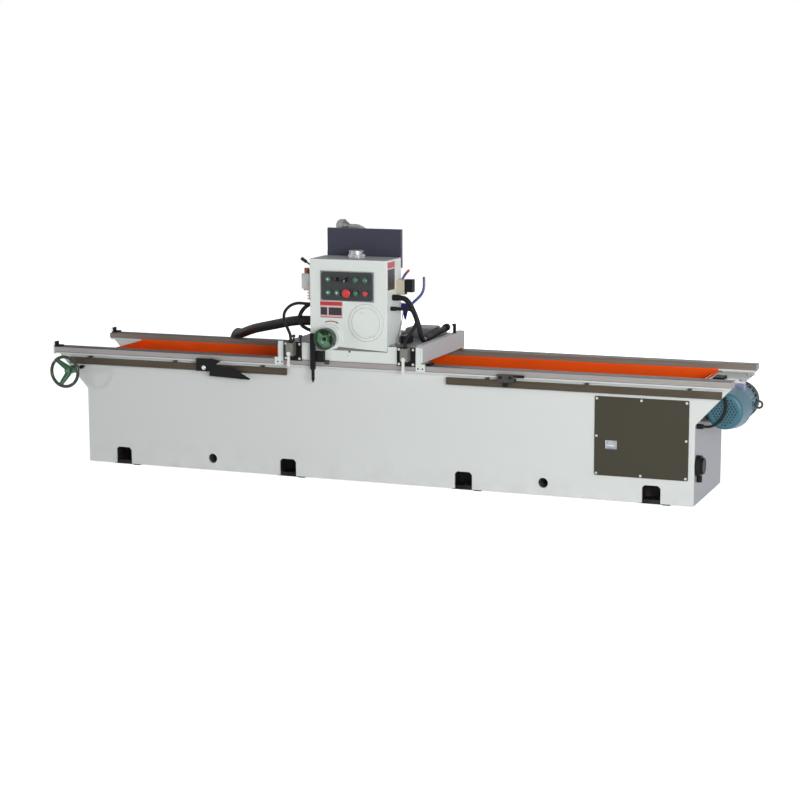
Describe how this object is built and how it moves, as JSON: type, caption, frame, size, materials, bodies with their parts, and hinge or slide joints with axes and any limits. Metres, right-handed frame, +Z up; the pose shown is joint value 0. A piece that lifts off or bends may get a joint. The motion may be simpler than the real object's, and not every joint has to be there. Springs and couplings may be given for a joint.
{
  "type": "straight-knife grinding machine",
  "caption": "Long-bed grinding machine: a carriage with a wheel head travels on two rails over a trough with a tilting magnetic chuck for straight blades",
  "frame": {"origin": "Centre of the outer foundation bolt pattern, on the floor", "axes": "+X along the bed to the motor end, +Y to the rear, +Z up"},
  "size_m": [3.407, 0.836, 1.1947],
  "materials": {
    "white_paint": "light grey-white gloss enamel",
    "rail_steel": "ground steel",
    "orange_paint": "orange enamel",
    "black_steel": "satin black",
    "bar_brown": "brown-black oxide",
    "cover_olive": "olive-black textured",
    "teal_paint": "teal-blue gloss",
    "green_wheel": "dark green moulded",
    "hood_blue": "dark blue-grey satin",
    "panel_grey": "dark grey satin",
    "bright_steel": "turned steel",
    "dark_iron": "machined iron",
    "chuck_steel": "ground magnetic face",
    "abrasive": "bonded abrasive, white",
    "rubber_black": "matt rubber",
    "cable_black": "black sheath",
    "nylon_black": "black nylon",
    "switch_grey": "die-cast grey",
    "lever_white": "bright cast lever",
    "pad_bronze": "bronze slide pad",
    "tank_clear": "translucent tank",
    "hose_blue": "blue segmented hose",
    "button_green": "green cap",
    "button_red": "red cap",
    "knob_black": "black knob",
    "gear_grey": "switchgear housings",
    "chain_steel": "oiled chain",
    "elbow_grey": "grey cast elbow"
  },
  "bodies": {
    "bed": {"bed_frame": "white_paint", "machine_feet": "black_steel", "front_rail": "rail_steel", "rear_rail": "rail_steel", "trough_pan": "orange_paint", "stop_buffers": "rubber_black", "trip_bars": "bar_brown", "cabinet_cover": "cover_olive", "cover_screws": "bright_steel", "control_gear": "gear_grey", "cable_entries": "nylon_black", "tilt_gearbox": "dark_iron", "table_bearings": "dark_iron", "travel_motor": "teal_paint", "motor_cable": "cable_black", "travel_chain": "chain_steel"},
    "drive_wheel": {"drive_sprocket": "dark_iron"},
    "idler_wheel": {"idler_sprocket": "dark_iron"},
    "table": {"chuck_beam": "dark_iron", "magnetic_chuck": "chuck_steel", "worm_wheel": "pad_bronze"},
    "tilt_wheel": {"worm_shaft": "bright_steel", "tilt_handwheel": "green_wheel"},
    "tilt_lock": {"tilt_lock_knob": "knob_black"},
    "carriage": {"carriage_frame": "white_paint", "slide_pads": "pad_bronze", "column": "white_paint", "round_cover": "white_paint", "control_panel": "panel_grey", "switch_plates": "black_steel", "limit_switches": "switch_grey", "lubricator": "tank_clear", "cable_fittings": "nylon_black", "head_conduit": "cable_black", "left_switch_cable": "cable_black", "right_switch_cable": "cable_black", "deck_cable": "cable_black", "coolant_lines": "hose_blue"},
    "wheel_head": {"head_slide": "dark_iron", "wheel_motor": "teal_paint", "splash_guard": "hood_blue", "vent_elbow": "elbow_grey"},
    "wheel_spindle": {"spindle": "bright_steel", "grinding_wheel": "abrasive"},
    "screw": {"feed_screw": "bright_steel"},
    "feed_wheel": {"feed_handwheel": "green_wheel"},
    "trip": {"feed_trip_lever": "black_steel"},
    "left_roller": {"left_switch_lever": "lever_white"},
    "right_roller": {"right_switch_lever": "lever_white"},
    "dog_left": {"left_dog": "black_steel"},
    "dog_right": {"right_dog": "switch_grey"},
    "left_selector": {"selector_left": "knob_black"},
    "right_selector": {"selector_right": "knob_black"},
    "stop_head": {"emergency_stop": "button_red"},
    "start_cap": {"button_start": "button_green"},
    "jog_cap": {"button_jog": "button_green"},
    "feed_cap": {"button_feed": "button_green"},
    "stop_cap": {"button_stop": "button_red"},
    "pump_handle": {"lubricator_handle": "knob_black"},
    "breaker": {"breaker_toggle": "knob_black"}
  },
  "joints": [
    {"name": "carriage_travel", "type": "slide", "parent": "bed", "child": "carriage", "axis": [1, 0, 0], "range_m": [-1.14, 1.3], "deforming": ["head_conduit"]},
    {"name": "drive_turn", "type": "hinge", "parent": "bed", "child": "drive_wheel", "pos_m": [1.608, -0.16, 0.419], "axis": [0, 1, 0], "range_deg": [-1300, 1480]},
    {"name": "idler_turn", "type": "hinge", "parent": "bed", "child": "idler_wheel", "pos_m": [-1.42, -0.16, 0.419], "axis": [0, 1, 0], "range_deg": [-1300, 1480]},
    {"name": "table_tilt", "type": "hinge", "parent": "bed", "child": "table", "pos_m": [0, 0.045, 0.405], "axis": [1, 0, 0], "range_deg": [-45, 90]},
    {"name": "tilt_turn", "type": "hinge", "parent": "bed", "child": "tilt_wheel", "pos_m": [-1.562, -0.33, 0.457], "axis": [0, 1, 0], "range_deg": [-1900, 3700]},
    {"name": "tilt_clamp", "type": "hinge", "parent": "bed", "child": "tilt_lock", "pos_m": [-1.517, -0.3, 0.471], "axis": [0, 1, 0], "range_deg": [-90, 90]},
    {"name": "head_feed", "type": "slide", "parent": "carriage", "child": "wheel_head", "axis": [0, 0, 1], "range_m": [-0.025, 0.05]},
    {"name": "screw_turn", "type": "hinge", "parent": "carriage", "child": "screw", "pos_m": [-0.1, -0.224, 0.678], "axis": [0, 0, 1], "range_deg": [-950, 1850]},
    {"name": "feed_turn", "type": "hinge", "parent": "carriage", "child": "feed_wheel", "pos_m": [-0.195, -0.388, 0.678], "axis": [0, 1, 0], "range_deg": [-9100, 18100]},
    {"name": "spindle_spin", "type": "hinge", "parent": "wheel_head", "child": "wheel_spindle", "pos_m": [-0.107, 0.045, 0.52], "axis": [0, 0, 1], "continuous": true},
    {"name": "trip_swing", "type": "hinge", "parent": "carriage", "child": "trip", "pos_m": [-0.276, -0.333, 0.678], "axis": [0, 1, 0], "range_deg": [-20, 25]},
    {"name": "left_roller_swing", "type": "hinge", "parent": "carriage", "child": "left_roller", "pos_m": [-0.388, -0.355, 0.597], "axis": [0, 1, 0], "range_deg": [-35, 35], "stiffness_Nm_per_rad": 0.4},
    {"name": "right_roller_swing", "type": "hinge", "parent": "carriage", "child": "right_roller", "pos_m": [0.178, -0.355, 0.597], "axis": [0, 1, 0], "range_deg": [-35, 35], "stiffness_Nm_per_rad": 0.4},
    {"name": "left_dog_slide", "type": "slide", "parent": "bed", "child": "dog_left", "axis": [1, 0, 0], "range_m": [-0.115, 0.235]},
    {"name": "right_dog_slide", "type": "slide", "parent": "bed", "child": "dog_right", "axis": [1, 0, 0], "range_m": [-0.045, 0.31]},
    {"name": "left_selector_turn", "type": "hinge", "parent": "carriage", "child": "left_selector", "pos_m": [-0.159, -0.32, 0.945], "axis": [0, 1, 0], "range_deg": [-15, 75]},
    {"name": "right_selector_turn", "type": "hinge", "parent": "carriage", "child": "right_selector", "pos_m": [-0.115, -0.32, 0.945], "axis": [0, 1, 0], "range_deg": [-75, 15]},
    {"name": "stop_head_push", "type": "slide", "parent": "carriage", "child": "stop_head", "axis": [0, 1, 0], "range_m": [0, 0.006]},
    {"name": "start_push", "type": "slide", "parent": "carriage", "child": "start_cap", "axis": [0, 1, 0], "range_m": [0, 0.004], "stiffness_N_per_m": 400},
    {"name": "jog_push", "type": "slide", "parent": "carriage", "child": "jog_cap", "axis": [0, 1, 0], "range_m": [0, 0.004], "stiffness_N_per_m": 400},
    {"name": "feed_push", "type": "slide", "parent": "carriage", "child": "feed_cap", "axis": [0, 1, 0], "range_m": [0, 0.004], "stiffness_N_per_m": 400},
    {"name": "stop_push", "type": "slide", "parent": "carriage", "child": "stop_cap", "axis": [0, 1, 0], "range_m": [0, 0.004], "stiffness_N_per_m": 400},
    {"name": "pump_swing", "type": "hinge", "parent": "carriage", "child": "pump_handle", "pos_m": [-0.319, -0.224, 0.99], "axis": [0, 1, 0], "range_deg": [-20, 45]},
    {"name": "breaker_flip", "type": "hinge", "parent": "bed", "child": "breaker", "pos_m": [1.126, -0.263, 0.255], "axis": [1, 0, 0], "range_deg": [-25, 25]}
  ],
  "couplings": [
    {"joint": "drive_turn", "follows": "carriage_travel", "rad_per_m": 19.708},
    {"joint": "idler_turn", "follows": "carriage_travel", "rad_per_m": 19.708},
    {"joint": "tilt_turn", "follows": "table_tilt", "ratio": 40},
    {"joint": "screw_turn", "follows": "head_feed", "rad_per_m": 628.32},
    {"joint": "feed_turn", "follows": "head_feed", "rad_per_m": 6283.2}
  ]
}
